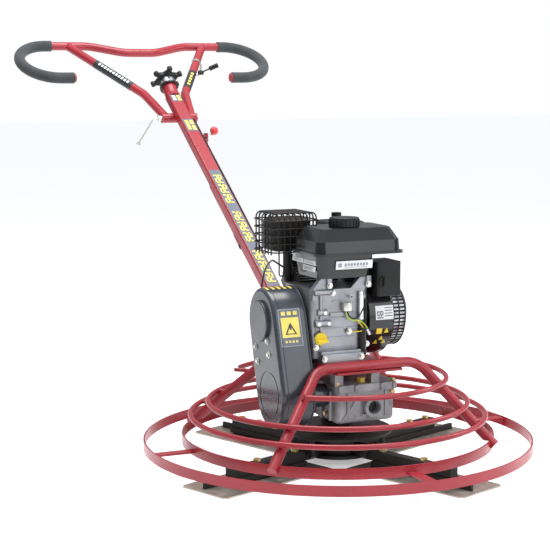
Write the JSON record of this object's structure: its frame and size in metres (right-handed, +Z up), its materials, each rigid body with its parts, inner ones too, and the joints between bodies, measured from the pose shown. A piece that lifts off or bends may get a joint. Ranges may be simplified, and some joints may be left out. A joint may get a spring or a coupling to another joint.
{
  "type": "power trowel",
  "caption": "Walk-behind power trowel with a ringed guard, four tilting blades, an engine with a covered belt drive, and a folding handlebar with a blade pitch wheel.",
  "frame": {"origin": "the rotor axis at the floor, on the plane of the blades", "axes": "+Z up, +Y towards the operator, -X on the belt cover side"},
  "size_m": [0.9559, 2.0621, 1.0583],
  "materials": {
    "red_paint": "gloss",
    "cast_alloy": "rough cast",
    "black_gloss": "gloss",
    "black_plastic": "satin",
    "zinc_plate": "zinc plated",
    "bright_metal": "polished",
    "black_cast": "satin",
    "blade_steel": "rolled",
    "machined_steel": "machined",
    "bronze": "machined",
    "yellow_plastic": "gloss",
    "belt_rubber": "matte",
    "foam": "matte foam",
    "heat_black": "satin"
  },
  "bodies": {
    "root": {"air_cleaner": "black_plastic", "belt_back_plate": "black_gloss", "belt_cover": "black_gloss", "carburettor": "cast_alloy", "control_box": "black_plastic", "cover_bolts": "zinc_plate", "crankcase": "cast_alloy", "cylinder": "cast_alloy", "drive_belt": "belt_rubber", "engine_plate": "red_paint", "fan_cover": "black_gloss", "front_leg_arch": "red_paint", "fuel_tank": "black_gloss", "gearbox_cover": "cast_alloy", "gearbox_housing": "cast_alloy", "gearbox_oil_plug": "yellow_plastic", "guard_brackets": "red_paint", "lower_guard_band": "red_paint", "middle_guard_ring": "red_paint", "muffler": "heat_black", "muffler_cage": "heat_black", "outer_guard_band": "red_paint", "pole": "red_paint", "pole_collar": "zinc_plate", "rear_leg_arch": "red_paint", "recoil_cover": "bright_metal", "shaft_bearings": "machined_steel", "throttle_cable": "black_plastic", "top_guard_ring": "red_paint", "upper_guard_ring": "red_paint"},
    "crank": {"crankshaft": "machined_steel", "flywheel": "machined_steel"},
    "clutch": {"clutch_pulley": "machined_steel"},
    "worm_input": {"worm_shaft": "machined_steel", "driven_pulley": "machined_steel"},
    "rotor": {"output_shaft": "machined_steel", "worm_wheel": "bronze", "spider_hub": "black_cast"},
    "pressure": {"pressure_plate": "black_cast"},
    "yoke": {"pitch_yoke": "black_cast"},
    "wheel": {"pitch_wheel": "black_plastic"},
    "handle": {"handlebar": "red_paint", "foam_grips": "foam", "throttle_clamp": "zinc_plate"},
    "throttle": {"throttle_lever": "black_plastic"},
    "clamp": {"clamp_lever": "zinc_plate"},
    "stop": {"stop_lever": "zinc_plate"},
    "cap": {"fuel_cap": "black_plastic"},
    "dipstick": {"oil_dipstick": "yellow_plastic"},
    "switch": {"switch_knob": "black_plastic"},
    "air_knob": {"air_cleaner_knob": "black_plastic"},
    "starter": {"starter_grip": "black_plastic"},
    "arm_1": {"arm_1": "black_cast", "blade_1": "blade_steel"},
    "arm_2": {"arm_2": "black_cast", "blade_2": "blade_steel"},
    "arm_3": {"arm_3": "black_cast", "blade_3": "blade_steel"},
    "arm_4": {"arm_4": "black_cast", "blade_4": "blade_steel"}
  },
  "joints": [
    {"name": "rotor_spin", "type": "hinge", "parent": "root", "child": "rotor", "pos_m": [0, 0, 0.03], "axis": [0, 0, 1], "continuous": true},
    {"name": "worm_spin", "type": "hinge", "parent": "root", "child": "worm_input", "pos_m": [0, -0.056, 0.175], "axis": [1, 0, 0], "continuous": true},
    {"name": "clutch_pulley_spin", "type": "hinge", "parent": "root", "child": "clutch", "pos_m": [0, 0.004, 0.356], "axis": [1, 0, 0], "continuous": true},
    {"name": "crank_spin", "type": "hinge", "parent": "root", "child": "crank", "pos_m": [0, 0.004, 0.356], "axis": [1, 0, 0], "continuous": true},
    {"name": "pitch_wheel_turn", "type": "hinge", "parent": "root", "child": "wheel", "pos_m": [0.01, 1.25695, 0.9271], "axis": [0, 0.7071, 0.7071], "range_deg": [0, 720]},
    {"name": "arm_1_pitch", "type": "hinge", "parent": "rotor", "child": "arm_1", "pos_m": [0, 0, 0.03], "axis": [0.9317, 0.3633, 0], "range_deg": [0, 20]},
    {"name": "arm_2_pitch", "type": "hinge", "parent": "rotor", "child": "arm_2", "pos_m": [0, 0, 0.03], "axis": [-0.3633, 0.9317, 0], "range_deg": [0, 20]},
    {"name": "arm_3_pitch", "type": "hinge", "parent": "rotor", "child": "arm_3", "pos_m": [0, 0, 0.03], "axis": [-0.9317, -0.3633, 0], "range_deg": [0, 20]},
    {"name": "arm_4_pitch", "type": "hinge", "parent": "rotor", "child": "arm_4", "pos_m": [0, 0, 0.03], "axis": [0.3633, -0.9317, 0], "range_deg": [0, 20]},
    {"name": "pressure_plate_slide", "type": "slide", "parent": "rotor", "child": "pressure", "axis": [0, 0, -1], "range_m": [0, 0.01]},
    {"name": "yoke_tilt", "type": "hinge", "parent": "root", "child": "yoke", "pos_m": [0, 0.07, 0.097], "axis": [1, 0, 0], "range_deg": [0, 7.5]},
    {"name": "handlebar_fold", "type": "hinge", "parent": "root", "child": "handle", "pos_m": [0, 1.149, 0.812], "axis": [1, 0, 0], "range_deg": [-30, 110]},
    {"name": "clamp_turn", "type": "hinge", "parent": "root", "child": "clamp", "pos_m": [0, 1.149, 0.812], "axis": [1, 0, 0], "range_deg": [-60, 160]},
    {"name": "throttle_turn", "type": "hinge", "parent": "handle", "child": "throttle", "pos_m": [0.17798, 1.39966, 0.9494], "axis": [0, -0.4802, 0.8771], "range_deg": [-30, 30]},
    {"name": "stop_turn", "type": "hinge", "parent": "root", "child": "stop", "pos_m": [0.058, 1.036, 0.752], "axis": [1, 0, 0], "range_deg": [-25, 25]},
    {"name": "fuel_cap_turn", "type": "hinge", "parent": "root", "child": "cap", "pos_m": [-0.005, -0.046, 0.58], "axis": [0, 0, 1], "range_deg": [0, 120]},
    {"name": "dipstick_turn", "type": "hinge", "parent": "root", "child": "dipstick", "pos_m": [-0.096, -0.104, 0.323], "axis": [0, -0.9487, -0.3162], "range_deg": [0, 720]},
    {"name": "switch_turn", "type": "hinge", "parent": "root", "child": "switch", "pos_m": [0.066, -0.112, 0.45], "axis": [0, 1, 0], "range_deg": [0, 90]},
    {"name": "air_knob_turn", "type": "hinge", "parent": "root", "child": "air_knob", "pos_m": [0.045, 0.1, 0.578], "axis": [0, 0, 1], "range_deg": [0, 720]},
    {"name": "starter_pull", "type": "slide", "parent": "root", "child": "starter", "axis": [0, 0.8192, 0.5736], "range_m": [0, 0.6], "stiffness_N_per_m": 30, "springref_m": -0.05}
  ],
  "couplings": [
    {"joint": "worm_spin", "follows": "rotor_spin", "ratio": 20},
    {"joint": "clutch_pulley_spin", "follows": "rotor_spin", "ratio": 30},
    {"joint": "arm_1_pitch", "follows": "pitch_wheel_turn", "ratio": 0.027778},
    {"joint": "arm_2_pitch", "follows": "pitch_wheel_turn", "ratio": 0.027778},
    {"joint": "arm_3_pitch", "follows": "pitch_wheel_turn", "ratio": 0.027778},
    {"joint": "arm_4_pitch", "follows": "pitch_wheel_turn", "ratio": 0.027778},
    {"joint": "pressure_plate_slide", "follows": "pitch_wheel_turn", "m_per_rad": 0.000795},
    {"joint": "yoke_tilt", "follows": "pitch_wheel_turn", "ratio": 0.010417}
  ]
}
